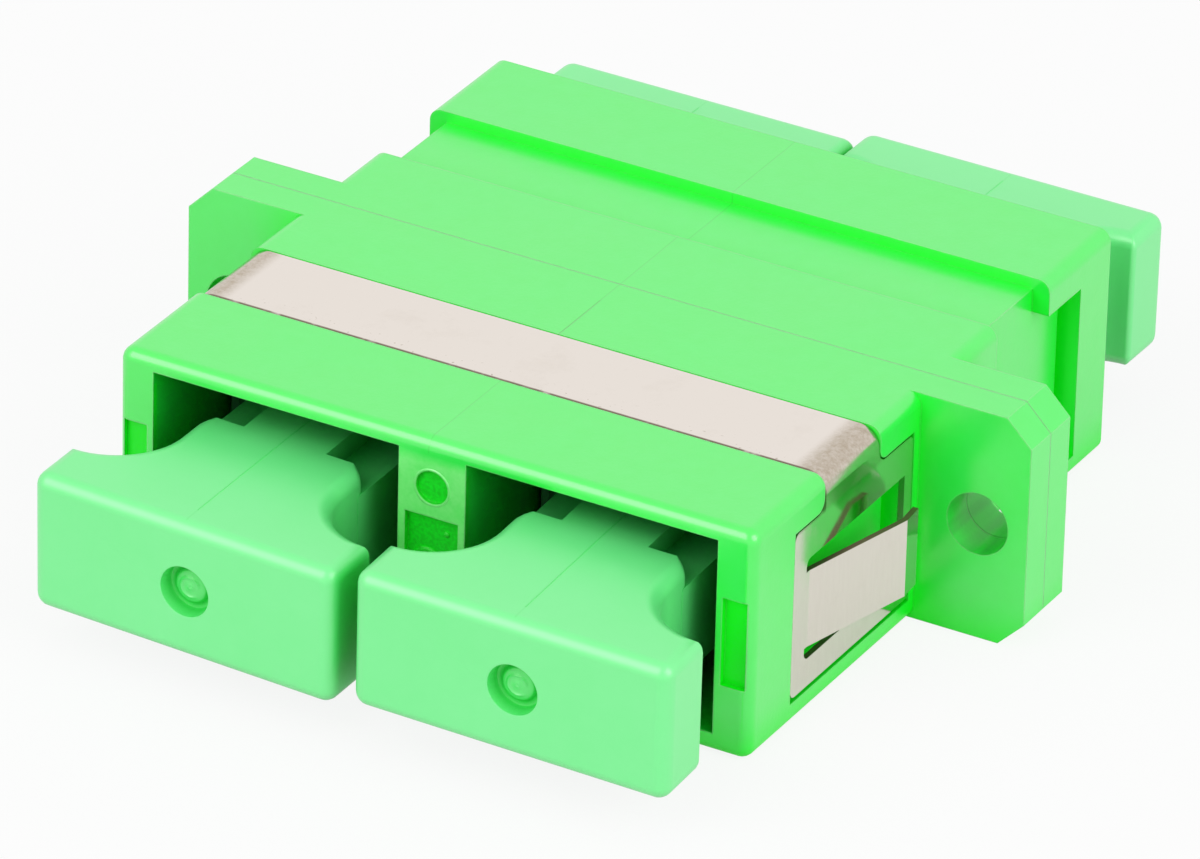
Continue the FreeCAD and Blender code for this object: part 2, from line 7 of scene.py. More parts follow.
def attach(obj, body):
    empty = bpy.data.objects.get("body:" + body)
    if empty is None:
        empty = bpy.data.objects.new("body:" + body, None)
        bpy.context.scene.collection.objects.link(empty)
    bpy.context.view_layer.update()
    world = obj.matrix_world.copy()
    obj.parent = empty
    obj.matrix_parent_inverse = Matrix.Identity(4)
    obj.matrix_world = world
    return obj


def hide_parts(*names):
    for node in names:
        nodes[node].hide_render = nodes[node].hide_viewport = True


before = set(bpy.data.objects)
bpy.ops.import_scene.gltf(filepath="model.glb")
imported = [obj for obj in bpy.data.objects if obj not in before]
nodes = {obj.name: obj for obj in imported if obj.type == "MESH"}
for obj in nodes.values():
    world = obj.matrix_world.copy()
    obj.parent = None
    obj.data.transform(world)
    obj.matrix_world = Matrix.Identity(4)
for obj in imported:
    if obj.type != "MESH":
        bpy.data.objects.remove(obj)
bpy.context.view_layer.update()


# The moulded body: two halves of semi-gloss green thermoplastic, welded face to face in the middle
# of the flange. The skin has a fine mould grain, a witness line down the top and a hairline where
# the halves meet, and every outer corner is broken by the tool's own small radius. Its colour also
# carries painted shade in hollows, recesses, ports and bolt holes, painted reflection streaks in the
# holes, and painted light on the middle post and along the rounded corners.
MM = 0.001
BODY_GREEN = (0.004, 0.840, 0.040, 1.0)
BODY_GREEN_PALE = (0.020, 0.870, 0.075, 1.0)
BODY_GREEN_DEEP = (0.001, 0.480, 0.004, 1.0)
BODY_GREEN_HOLLOW_SHADE = (0.0005, 0.900, 0.004, 1.0)
BODY_GREEN_POST = (0.240, 0.950, 0.245, 1.0)
BODY_GREEN_POST_RECESS_SHADE = (0.004, 0.620, 0.010, 1.0)
BODY_GREEN_HOLE_SHADE = (0.012, 0.500, 0.035, 1.0)
BODY_GREEN_PORT_SHADE = (0.0005, 0.050, 0.007, 1.0)
BODY_GREEN_EDGE_HIGHLIGHT = (0.340, 0.960, 0.340, 1.0)
BODY_FRONT_Y = -12.0 * MM
BODY_PARTING_Y = 1.45 * MM
BODY_WITNESS_X = -0.15 * MM
PORT_X, PORT_Z = 6.35 * MM, 0.10 * MM
PIN_MARK = Vector((0.0, -12.0, 2.63)) * MM
PORT_HALF_WIDTH, PORT_HALF_HEIGHT = 5.0 * MM, 3.825 * MM
POST_HALF_WIDTH = 1.35 * MM
RECESS_REACH = (12.50 * MM, 3.40 * MM)
HOLE_X, HOLE_RADIUS = 15.2 * MM, 1.2 * MM
TOOL_RADIUS = 0.10 * MM
IN_PORT_REACH = 5.0 * MM


class Wire:
    """A socket's value, so that shader maths can be written as expressions."""

    def __init__(self, surface, socket):
        self.surface = surface
        self.socket = socket

    def maths(self, operation, *others):
        return self.surface.node("ShaderNodeMath", {"operation": operation}, dict(enumerate((self, *others))))

    def __add__(self, other):
        return self.maths("ADD", other)

    def __radd__(self, other):
        return self.maths("ADD", other)

    def __sub__(self, other):
        return self.maths("SUBTRACT", other)

    def __rsub__(self, other):
        return (self * -1.0) + other

    def __mul__(self, other):
        return self.maths("MULTIPLY", other)

    def __rmul__(self, other):
        return self.maths("MULTIPLY", other)

    def __abs__(self):
        return self.maths("ABSOLUTE")

    def root(self):
        return self.maths("SQRT")

    def at_least(self, other):
        return self.maths("MAXIMUM", other)


class Surface:
    """A material with its shader, or the world with its background, and the one way of adding nodes."""

    def __init__(self, owner, shader="Principled BSDF", **constants):
        self.owner = owner
        owner.use_nodes = True
        self.tree = owner.node_tree
        self.shader = self.tree.nodes[shader]
        for socket, value in constants.items():
            self.shader.inputs[socket.replace("_", " ")].default_value = value

    def node(self, kind, settings=None, inputs=None, output=0):
        """Adds a node, makes its settings first and then fills its sockets with values or wires. Where
        output is a tuple of names, it gives all those outputs."""
        node = self.tree.nodes.new(kind)
        for setting, value in (settings or {}).items():
            setattr(node, setting, value)
        for socket, value in (inputs or {}).items():
            if isinstance(value, Wire):
                self.tree.links.new(value.socket, node.inputs[socket])
            else:
                node.inputs[socket].default_value = value
        if isinstance(output, tuple):
            return [Wire(self, node.outputs[name]) for name in output]
        return Wire(self, node.outputs[output])

    def drive(self, socket, wire):
        self.tree.links.new(wire.socket, self.shader.inputs[socket])

    def place(self):
        """Where the shaded point is on its piece, in metres."""
        return self.node("ShaderNodeTexCoord", output="Object")

    def axes(self, vector):
        return self.node("ShaderNodeSeparateXYZ", None, {0: vector}, ("X", "Y", "Z"))

    def grain(self, vector, size, detail=3.0, roughness=0.5):
        """Soft noise from 0 to 1 whose lumps are about the size given in metres."""
        values = {"Vector": vector, "Scale": 0.5 / size, "Detail": detail, "Roughness": roughness}
        return self.node("ShaderNodeTexNoise", None, values, "Fac")

    def vectors(self, operation, first, second, output=0):
        return self.node("ShaderNodeVectorMath", {"operation": operation}, {0: first, 1: second}, output)

    def stretched(self, vector, across, along, upward):
        """The place, scaled differently each way, which draws grain out into streaks."""
        return self.vectors("MULTIPLY", vector, (across, along, upward))

    def ramp(self, value, low, high, at_low=0.0, at_high=1.0, shape="LINEAR"):
        limits = {0: value, 1: low, 2: high, 3: at_low, 4: at_high}
        return self.node("ShaderNodeMapRange", {"interpolation_type": shape}, limits)

    def band(self, value, centre, half_width, soft):
        """1 within half_width of the centre, falling smoothly to 0 over the soft distance."""
        return self.ramp(abs(value - centre), half_width + soft, half_width, shape="SMOOTHSTEP")

    def tint(self, factor, under, over):
        """The colour under, turning into the colour over as the factor goes from 0 to 1."""
        return self.node("ShaderNodeMix", {"data_type": "RGBA"}, {0: factor, 6: under, 7: over}, 2)

    def openness(self, reach):
        """1 where nothing stands within the reach, less in hollows, in corners and against other pieces."""
        return self.node("ShaderNodeAmbientOcclusion", {"samples": 3}, {"Distance": reach}, "AO")

    def edges(self, radius):
        """How far the piece's edges, rounded by the radius, turn away from its faces."""
        rounded = self.node("ShaderNodeBevel", {"samples": 3}, {"Radius": radius})
        flat = self.node("ShaderNodeNewGeometry", output="Normal")
        alike = self.vectors("DOT_PRODUCT", rounded, flat, "Value")
        return rounded, self.ramp(alike, 0.97, 0.80)

    def relief(self, height, distance, rounded=None):
        """Bumps whose height from 0 to 1 stands for the distance in metres, on rounded edges if given."""
        values = {"Height": height, "Distance": distance}
        if rounded:
            values["Normal"] = rounded
        self.drive("Normal", self.node("ShaderNodeBump", None, values))

    def wear_on(self, piece):
        piece.data.materials.clear()
        piece.data.materials.append(self.owner)


def moulded_green():
    skin = Surface(bpy.data.materials.new("body_plastic"), IOR=1.5, Coat_IOR=1.95, Coat_Roughness=0.25)
    spot = skin.place()
    across, along, upward = skin.axes(spot)
    cloud = skin.grain(spot, 2.5 * MM)
    mottle = skin.grain(spot, 0.35 * MM, 2.0)
    pits = skin.grain(spot, 0.07 * MM, 2.0)
    wander = skin.grain(spot, 1.6 * MM) * (0.06 * MM) - 0.03 * MM
    on_deck = skin.ramp(upward, 3.9 * MM, 4.0 * MM)
    witness = skin.band(across + wander, BODY_WITNESS_X, 0.012 * MM, 0.025 * MM) * on_deck
    beside_clip = skin.band(along, -1.5 * MM, 1.4 * MM, 0.2 * MM)
    witness = witness * (0.35 + 0.65 * beside_clip)
    parting = skin.band(along, BODY_PARTING_Y, 0.015 * MM, 0.02 * MM)
    # Painted shade down the ports: their walls darken as they close in with depth.
    port_shade = skin.band(abs(across), PORT_X, PORT_HALF_WIDTH + 0.03 * MM, 0.02 * MM)
    port_shade = port_shade * skin.band(upward, PORT_Z, PORT_HALF_HEIGHT + 0.03 * MM, 0.02 * MM)
    port_shade = port_shade * skin.ramp(skin.openness(IN_PORT_REACH), 0.24, 0.06, shape="SMOOTHSTEP")
    at_front = skin.ramp(along, BODY_FRONT_Y + 0.05 * MM, BODY_FRONT_Y + 0.01 * MM)
    by_post = skin.band(across, 0.0, POST_HALF_WIDTH, 0.01 * MM)
    on_post = at_front * by_post * skin.ramp(upward, 3.9 * MM, 3.5 * MM)
    in_recess = (1 - at_front) * skin.band(along, BODY_FRONT_Y, 0.26 * MM, 0.01 * MM) * (1 - port_shade)
    in_recess = in_recess * skin.band(across, 0.0, RECESS_REACH[0], 0.02 * MM)
    in_recess = in_recess * skin.band(upward, 0.0, RECESS_REACH[1], 0.02 * MM)
    beside_hole = abs(across) - HOLE_X
    hole_reach = (beside_hole * beside_hole + upward * upward).root()
    in_hole = skin.ramp(hole_reach, HOLE_RADIUS + 0.03 * MM, HOLE_RADIUS + 0.01 * MM)
    # Streaks along the holes' axis, for the painted reflections inside the bolt holes.
    hole_reflection_streaks = skin.grain(skin.stretched(spot, 1.0, 0.1, 1.0), 0.30 * MM, 1.0)
    open_sky = skin.openness(2.0 * MM)
    rounded, edge_highlight = skin.edges(TOOL_RADIUS)
    colour = skin.tint(skin.ramp(cloud * 0.6 + mottle * 0.4, 0.20, 0.80), BODY_GREEN, BODY_GREEN_PALE)
    # Painted shade: hollows, corners and faces close to other pieces or the floor turn a deeper, sheen-free green.
    colour = skin.tint(skin.ramp(open_sky, 0.80, 0.50), colour, BODY_GREEN_HOLLOW_SHADE)
    # Painted light: the middle post's face is made paler, in a mottle that follows its grain, for the glare on it.
    colour = skin.tint(on_post * skin.ramp(mottle + pits * 0.6, 0.55, 1.05, 0.6, 1.0), colour, BODY_GREEN_POST)
    # Painted shade in the front recesses: a sheen-free green there, darker and speckled in the post's recess where
    # the plugs shade it.
    speckle = skin.ramp(pits, 0.35, 0.65, 0.5, 1.0)
    recess_shade_green = skin.tint(by_post * speckle, BODY_GREEN_HOLLOW_SHADE, BODY_GREEN_POST_RECESS_SHADE)
    colour = skin.tint(in_recess * skin.ramp(pits, 0.35, 0.65, 0.75, 1.0), colour, recess_shade_green)
    colour = skin.tint(witness * 0.7, colour, BODY_GREEN_DEEP)
    colour = skin.tint(parting * 0.45, colour, BODY_GREEN_DEEP)
    # Painted highlight: a pale line along the rounded corners, kept out of hollows.
    colour = skin.tint(edge_highlight * skin.ramp(open_sky, 0.70, 0.90) * 0.85, colour, BODY_GREEN_EDGE_HIGHLIGHT)
    # Painted shade inside the bolt holes, broken by painted reflection streaks along them.
    colour = skin.tint(in_hole * skin.ramp(hole_reflection_streaks, 0.35, 0.65, 0.2, 0.9), colour, BODY_GREEN_HOLE_SHADE)
    # Painted shade in the depths of the ports.
    colour = skin.tint(port_shade, colour, BODY_GREEN_PORT_SHADE)
    skin.drive("Base Color", colour)
    skin.drive("Coat Weight", skin.ramp(open_sky, 0.45, 0.95) * (1 - in_recess) * (1 - in_hole * 0.6))
    skin.drive("Roughness", skin.ramp(cloud, 0.3, 0.7, 0.36, 0.48))
    skin.relief(pits * 0.30 + mottle * (0.10 + on_post * 0.6) - witness * 0.6 - parting * 0.5, 0.018 * MM, rounded)
    return skin


body_plastic = moulded_green()
for half in ("front_housing", "rear_housing"):
    body_plastic.wear_on(nodes[half])


# The marks on the middle post's front face: a lip round the ejector pin's mark, and in the recess
# under it a low disc and a nub left by the tool. They are part of the same moulding.
POST_DISC = Vector((-0.28, -11.75, -0.50)) * MM
POST_NUB = Vector((0.50, -11.75, 0.80)) * MM
FORWARD = Matrix.Rotation(math.radians(90), 4, "X")


def turned(form, profile, steps=32):
    """Adds the surface that a profile of (radius, height) makes when it is turned about Z."""
    rings = []
    for radius, height in profile:
        if radius == 0:
            rings.append([form.verts.new((0, 0, height))] * steps)
        else:
            turn = [2 * math.pi * step / steps for step in range(steps)]
            rings.append([form.verts.new((radius * math.cos(a), radius * math.sin(a), height)) for a in turn])
    for low, high in zip(rings, rings[1:]):
        for step in range(steps):
            after = (step + 1) % steps
            corners = [low[step], low[after], high[after], high[step]]
            corners = [corner for i, corner in enumerate(corners) if corner not in corners[:i]]
            if len(corners) > 2:
                form.faces.new(corners)


def finished(name, form, sharp=35.0):
    """Turns a bmesh form in metres into a smooth-shaded object with crisp edges."""
    bmesh.ops.recalc_face_normals(form, faces=form.faces)
    mesh = bpy.data.meshes.new(name)
    form.to_mesh(mesh)
    form.free()
    mesh.shade_smooth()
    mesh.set_sharp_from_angle(angle=math.radians(sharp))
    piece = bpy.data.objects.new(name, mesh)
    bpy.context.scene.collection.objects.link(piece)
    return piece


def post_mark(name, spot, profile):
    form = bmesh.new()
    turned(form, [(radius * MM, height * MM) for radius, height in profile])
    form.transform(Matrix.Translation(spot) @ FORWARD)
    piece = finished(name, form, sharp=60.0)
    body_plastic.wear_on(piece)
    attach(piece, "adapter")


post_mark("pin_mark_lip", PIN_MARK, [
    (0.640, -0.05), (0.646, 0.010), (0.690, 0.022), (0.740, 0.010), (0.760, -0.05), (0.640, -0.05),
])
post_mark("post_disc", POST_DISC, [
    (0, -0.05), (0.62, -0.05), (0.60, 0.06), (0.54, 0.10), (0.42, 0.10), (0.38, 0.06), (0, 0.05),
])
post_mark("post_nub", POST_NUB, [(0, -0.05), (0.13, -0.05), (0.12, 0.03), (0.07, 0.07), (0, 0.08)])


# The latch holders: four like mouldings in a dark green plastic, two back to back in each half of the
# body, trapped by their plates at the parting plane. Their dark green is taken from the dark depths
# of the ports, so it is partly painted shade.
HOLDER_GREEN = (0.006, 0.090, 0.026, 1.0)
HOLDER_GREEN_PALE = (0.012, 0.120, 0.038, 1.0)

holder_plastic = Surface(bpy.data.materials.new("holder_plastic"), Roughness=0.5, IOR=1.5)
spot = holder_plastic.place()
cloud = holder_plastic.grain(spot, 1.5 * MM)
holder_plastic.drive("Base Color", holder_plastic.tint(cloud, HOLDER_GREEN, HOLDER_GREEN_PALE))
holder_plastic.relief(holder_plastic.grain(spot, 0.08 * MM, 2.0), 0.004 * MM)
for name, piece in nodes.items():
    if "latch_holder" in name:
        holder_plastic.wear_on(piece)


# The alignment sleeves: split tubes of ground ceramic that float in the holders' barrels. Grinding
# leaves fine rings round them.
CERAMIC = (0.840, 0.840, 0.790, 1.0)
CERAMIC_PALE = (0.880, 0.880, 0.850, 1.0)

sleeve_ceramic = Surface(bpy.data.materials.new("sleeve_ceramic"), Roughness=0.18, IOR=2.0)
spot = sleeve_ceramic.place()
rings = sleeve_ceramic.grain(sleeve_ceramic.stretched(spot, 0.1, 1.0, 0.1), 0.05 * MM)
sleeve_ceramic.drive("Base Color", sleeve_ceramic.tint(rings, CERAMIC, CERAMIC_PALE))
sleeve_ceramic.relief(rings, 0.001 * MM)
for name, piece in nodes.items():
    if "alignment_sleeve" in name:
        sleeve_ceramic.wear_on(piece)


# The spring clip: one strip of bright stainless sheet pressed over the front half and folded down
# both sides. Its cut edges are dull and dark, a painted shadow line runs along the band's front
# where the body meets it, the two bends are darker and browner, and handling has left smudges
# and fine scratches along the band.
STEEL = (0.800, 0.735, 0.675, 1.0)
STEEL_SMUDGE = (0.690, 0.620, 0.550, 1.0)
STEEL_DARK_BROWN = (0.400, 0.325, 0.230, 1.0)
STEEL_CUT_AND_GAP_SHADE = (0.190, 0.145, 0.095, 1.0)
BAND_FRONT_Y = -6.95 * MM
BEND_X = 12.25 * MM

clip_steel = Surface(bpy.data.materials.new("clip_steel"), Metallic=1.0)
spot = clip_steel.place()
across, along, upward = clip_steel.axes(spot)
_, facing_y, facing_z = clip_steel.axes(clip_steel.node("ShaderNodeNewGeometry", output="True Normal"))
on_top = clip_steel.ramp(upward, 3.0 * MM, 3.2 * MM)
cut_ends = clip_steel.ramp(abs(facing_y), 0.6, 0.7) * 0.6
cut_sides = clip_steel.ramp(abs(facing_z), 0.5, 0.6) * (1 - on_top)
cut = cut_ends.at_least(cut_sides)
# Painted shadow: a dark broken line on the band just behind its front border, for the shaded gap between clip and
# body.
front_edge_shade_break = clip_steel.ramp(clip_steel.grain(spot, 0.35 * MM, 3.0), 0.22, 0.46)
front_edge_shade = clip_steel.ramp(along, BAND_FRONT_Y + 0.14 * MM, BAND_FRONT_Y + 0.07 * MM) * on_top * front_edge_shade_break
smudge = clip_steel.ramp(clip_steel.grain(spot, 1.4 * MM, 6.0, 0.65), 0.56, 0.74)
streak = clip_steel.ramp(clip_steel.grain(clip_steel.stretched(spot, 1.0, 0.16, 1.0), 0.05 * MM, 2.0), 0.66, 0.78)
speck = clip_steel.ramp(clip_steel.grain(spot, 0.09 * MM, 1.0), 0.68, 0.76)
near_rim = clip_steel.ramp(along, BAND_FRONT_Y + 1.0 * MM, BAND_FRONT_Y, 0.0, 0.7) * on_top
# The bends are made darker and browner, in blotches.
bend = clip_steel.band(abs(across), BEND_X, 0.25 * MM, 0.7 * MM) * on_top
bend_darkening = bend * clip_steel.ramp(clip_steel.grain(spot, 0.10 * MM, 4.0, 0.7), 0.36, 0.68, 0.55, 1.0)
brushed = clip_steel.grain(clip_steel.stretched(spot, 1.0, 1.0, 0.12), 0.06 * MM, 3.0, 0.6)
side_dull = (1 - on_top) * clip_steel.ramp(brushed, 0.35, 0.65, 0.06, 0.20)
colour = clip_steel.tint(smudge * 0.35 + streak * 0.12 + side_dull, STEEL, STEEL_SMUDGE)
colour = clip_steel.tint(speck * near_rim, colour, STEEL_DARK_BROWN)
colour = clip_steel.tint(bend_darkening * 0.85, colour, STEEL_DARK_BROWN)
colour = clip_steel.tint(cut.at_least(front_edge_shade), colour, STEEL_CUT_AND_GAP_SHADE)
clip_steel.drive("Base Color", colour)
clip_steel.drive("Roughness", (0.09 + smudge * 0.10 + bend_darkening * 0.15).at_least(cut * 0.45))
clip_steel.relief(clip_steel.grain(spot, 0.5 * MM, 3.0) * 0.8 + streak * 0.2, 0.0012 * MM)
clip_steel.wear_on(nodes["spring_clip"])


# The dust plugs: four like mouldings in a softer, paler green plastic. Each is pushed loosely into
# its port by a grip with two finger hollows, whose edges are all well rounded. The gate is left in a
# dimple in the face, and a witness line runs down the middle of the top and the bottom.
PLUG_HALF_WIDTH, PLUG_HALF_HEIGHT = 6.2, 2.725
FINGER_CENTRE, FINGER_RADIUS = (6.0, 5.15), 2.6
PLUG_NECK, PLUG_GRIP_LENGTH, PLUG_LENGTH = 3.4, 6.7, 14.2
PLUG_FACE_CORNER, PLUG_NECK_CORNER, PLUG_EAR_TIP = 0.55, 0.55, 0.2
PLUG_ROUND, PLUG_ROUND_STEPS = 0.55, 6
SHANK, KEY, SHANK_LEAD = (3.41, 1.85), (1.7, 2.725), 0.35
PLUG_BORE_RADIUS, PLUG_BORE_FLOOR = 2.4, 5.7
DIMPLE_X, DIMPLE_RADIUS, DIMPLE_DEPTH = 0.15, 0.975, 0.6
PLUG_GREEN = (0.105, 0.850, 0.205, 1.0)
PLUG_GREEN_PALE = (0.150, 0.870, 0.260, 1.0)
PLUG_GREEN_SHADE_AND_WITNESS = (0.008, 0.700, 0.045, 1.0)
PLUG_GREEN_PORT_SHADE = (0.004, 0.260, 0.040, 1.0)
PLUG_SEATS = {
    "front_dust_plug_left": ((-6.42, -18.20, -0.42), (1.8, 1.0, -1.5)),
    "front_dust_plug_right": ((6.85, -18.45, -0.17), (1.8, 1.2, 0.8)),
    "rear_dust_plug_left": ((-6.43, 19.60, -0.35), (0.8, 0.0, 180.0)),
    "rear_dust_plug_right": ((6.07, 20.00, -0.10), (0.8, 0.0, 180.0)),
}


def arc(centre, radii, start, finish, steps):
    """Points on an ellipse's arc, from one angle to the other in degrees."""
    angles = [math.radians(start + (finish - start) * step / steps) for step in range(steps + 1)]
    return [(centre[0] + radii[0] * math.cos(a), centre[1] + radii[1] * math.sin(a)) for a in angles]


def grip_plan(inset):
    """The grip's outline from above, moved inward by the inset except at the neck's back face."""
    corner = PLUG_FACE_CORNER
    right = arc((PLUG_HALF_WIDTH - corner, corner), [corner - inset] * 2, -90, 0, 6)
    tip = max(PLUG_EAR_TIP - inset, 0.0)
    reach = FINGER_RADIUS + inset + tip
    tip_x = PLUG_HALF_WIDTH - inset - tip
    tip_y = FINGER_CENTRE[1] - math.sqrt(reach ** 2 - (tip_x - FINGER_CENTRE[0]) ** 2)
    lean = math.degrees(math.atan2(FINGER_CENTRE[1] - tip_y, FINGER_CENTRE[0] - tip_x))
    right += arc((tip_x, tip_y), (tip, tip), 0, lean, 4)
    right += arc(FINGER_CENTRE, [FINGER_RADIUS + inset] * 2, lean - 180, -180, 14)
    corner = PLUG_NECK_CORNER
    right += arc((PLUG_NECK - corner, PLUG_GRIP_LENGTH - corner), (corner - inset, corner), 0, 90, 6)
    return right + [(-x, y) for x, y in reversed(right)]


def closed_stack(form, loops):
    """Skins a stack of like loops of points and closes it at both ends."""
    rings = [[form.verts.new(point) for point in loop] for loop in loops]
    for low, high in zip(rings, rings[1:]):
        for step in range(len(low)):
            after = (step + 1) % len(low)
            form.faces.new((low[step], low[after], high[after], high[step]))
    form.faces.new(rings[0])
    form.faces.new(rings[-1])


def grip():
    form = bmesh.new()
    turn = [math.radians(90 * step / PLUG_ROUND_STEPS) for step in range(PLUG_ROUND_STEPS + 1)]
    levels = [(PLUG_ROUND * (1 - math.cos(a)), PLUG_HALF_HEIGHT - PLUG_ROUND * (1 - math.sin(a))) for a in turn]
    levels = [(inset, -height) for inset, height in reversed(levels)] + levels
    closed_stack(form, [[(x, y, height) for x, y in grip_plan(inset)] for inset, height in levels])
    bmesh.ops.remove_doubles(form, verts=form.verts, dist=1e-5)
    return form


def shank():
    """The keyed shank, from inside the grip's neck to the lead at its end."""
    form = bmesh.new()
    loops = []
    for along, less in ((PLUG_GRIP_LENGTH - 0.6, 0), (PLUG_LENGTH - SHANK_LEAD, 0), (PLUG_LENGTH, SHANK_LEAD)):
        (wide, low), (slim, high) = [(across - less, up - less) for across, up in (SHANK, KEY)]
        right = [(wide, -low), (wide, low), (slim, low), (slim, high)]
        left = [(-slim, high), (-slim, low), (-wide, low), (-wide, -low)]
        under = [(-slim, -low), (-slim, -high), (slim, -high), (slim, -low)]
        loops.append([(x, along, z) for x, z in right + left + under])
    closed_stack(form, loops)
    return form


def bore():
    form = bmesh.new()
    turned(form, [(0, 0), (PLUG_BORE_RADIUS, 0), (PLUG_BORE_RADIUS, 10), (0, 10)], 48)
    form.transform(Matrix.Translation((0, PLUG_BORE_FLOOR, 0)) @ Matrix.Rotation(math.radians(-90), 4, "X"))
    return form


def dimple():
    """What the dimple takes out: a round pit with a raised pad in it, and the gate's curl on the pad."""
    form = bmesh.new()
    wall = [(0, -0.5), (DIMPLE_RADIUS + 0.06, -0.5), (DIMPLE_RADIUS + 0.06, 0.0), (DIMPLE_RADIUS + 0.015, 0.015)]
    wall += [(DIMPLE_RADIUS, 0.06), (DIMPLE_RADIUS - 0.03, DIMPLE_DEPTH - 0.12)]
    wall += [(0.90, DIMPLE_DEPTH - 0.03), (0.83, DIMPLE_DEPTH), (0.75, DIMPLE_DEPTH), (0.69, DIMPLE_DEPTH - 0.03)]
    pad = [(0.62, 0.47), (0.57, 0.45)]
    pad += [(0.52 - 0.04 * step, 0.44 - 0.004 * step) for step in range(12)]
    turned(form, wall + pad + [(0, 0.40)], 64)
    for vert in form.verts:
        radius = math.hypot(vert.co.x, vert.co.y)
        if 0.03 < radius < 0.55:
            turn = (math.degrees(math.atan2(vert.co.y, vert.co.x)) - 40) % 360
            ring_radius = 0.42 - 0.10 * turn / 360
            fade = min(1.0, turn / 40, (320 - turn) / 30) if turn < 320 else 0.0
            curl = 0.055 * fade * math.exp(-((radius - ring_radius) / 0.05) ** 2)
            vert.co.z -= curl + 0.04 * math.exp(-(radius / 0.12) ** 2)
    form.transform(Matrix.Translation((DIMPLE_X, 0, 0)) @ Matrix.Rotation(math.radians(-90), 4, "X"))
    return form


def witness_ridges(form):
    """Low ridges along the top and bottom, where the mould's halves met."""
    for face in (-1, 1):
        foot, crest = face * (PLUG_HALF_HEIGHT - 0.02), face * (PLUG_HALF_HEIGHT + 0.016)
        ends = (1.1, PLUG_LENGTH - 0.5)
        closed_stack(form, [[(-0.035, y, foot), (0.0, y, crest), (0.035, y, foot)] for y in ends])


def combined(first, second, operation):
    """The exact union or difference of two closed forms, as a new form."""
    pair = [finished("tool", form) for form in (first, second)]
    cut = pair[0].modifiers.new("cut", "BOOLEAN")
    cut.object, cut.operation, cut.solver = pair[1], operation, "EXACT"
    result = pair[0].evaluated_get(bpy.context.evaluated_depsgraph_get()).to_mesh()
    form = bmesh.new()
    form.from_mesh(result)
    for piece in pair:
        bpy.data.meshes.remove(piece.data)
    return form


plug_form = combined(grip(), shank(), "UNION")
plug_form = combined(plug_form, bore(), "DIFFERENCE")
plug_form = combined(plug_form, dimple(), "DIFFERENCE")
witness_ridges(plug_form)
plug_form.transform(Matrix.Scale(MM, 4))
plug_shape = finished("plug_shape", plug_form, sharp=40.0)

plug_plastic = Surface(bpy.data.materials.new("plug_plastic"), IOR=1.5, Coat_IOR=1.95, Coat_Roughness=0.38)
spot = plug_plastic.place()
across, along, upward = plug_plastic.axes(spot)
cloud = plug_plastic.grain(spot, 2.2 * MM)
mottle = plug_plastic.grain(spot, 0.3 * MM, 2.0)
paler = plug_plastic.ramp(cloud * 0.8 + mottle * 0.2, 0.20, 0.80)
colour = plug_plastic.tint(paler, PLUG_GREEN, PLUG_GREEN_PALE)
dimple_reach = plug_plastic.vectors("DISTANCE", spot, (DIMPLE_X * MM, 0.0, 0.0), "Value")
in_dimple = plug_plastic.ramp(dimple_reach, 1.2 * MM, 1.1 * MM) * plug_plastic.ramp(along, 0.05 * MM, 0.5 * MM)
open_sky = plug_plastic.openness(1.2 * MM)
plug_plastic.drive("Coat Weight", plug_plastic.ramp(open_sky, 0.45, 0.95))
on_flats = plug_plastic.ramp(abs(upward), 2.68 * MM, 2.70 * MM)
witness = plug_plastic.band(across, 0.0, 0.02 * MM, 0.03 * MM) * on_flats
# Painted shade in the dimple, the finger hollows and between the plugs; the same deep green also darkens the
# witness line.
hollow_shade = (in_dimple * 0.6).at_least(plug_plastic.ramp(open_sky, 0.80, 0.45))
colour = plug_plastic.tint(hollow_shade, colour, PLUG_GREEN_SHADE_AND_WITNESS)
colour = plug_plastic.tint(witness * 0.2, colour, PLUG_GREEN_SHADE_AND_WITNESS)
# Painted shade on the shank where it sits deep in its port.
port_shade = plug_plastic.ramp(plug_plastic.openness(IN_PORT_REACH), 0.30, 0.06, shape="SMOOTHSTEP")
plug_plastic.drive("Base Color", plug_plastic.tint(port_shade, colour, PLUG_GREEN_PORT_SHADE))
plug_plastic.drive("Roughness", plug_plastic.ramp(cloud, 0.3, 0.7, 0.44, 0.56))
plug_plastic.relief(plug_plastic.grain(spot, 0.09 * MM, 2.0) * 0.5 + mottle * 0.3, 0.006 * MM)
plug_plastic.wear_on(plug_shape)

for name, (seat, turns) in PLUG_SEATS.items():
    piece = bpy.data.objects.new(name + "_moulding", plug_shape.data)
    bpy.context.scene.collection.objects.link(piece)
    droop, cant, yaw = [math.radians(turn) for turn in turns]
    turn = Matrix.Rotation(yaw, 4, "Z") @ Matrix.Rotation(cant, 4, "Y") @ Matrix.Rotation(droop, 4, "X")
    piece.matrix_world = Matrix.Translation(Vector(seat) * MM) @ turn
    even = piece.modifiers.new("even_shading", "WEIGHTED_NORMAL")
    even.keep_sharp = True
    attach(piece, name + "_body")
    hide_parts(name)
bpy.data.objects.remove(plug_shape)


# The surroundings: a white floor under the body, white all round, soft lamps in front and to the
# right, and the camera where the photograph was taken from.
FLOOR_Z, FLOOR_REACH = -4.56 * MM, 2.0
WHITE = (1.0, 1.0, 1.0, 1.0)

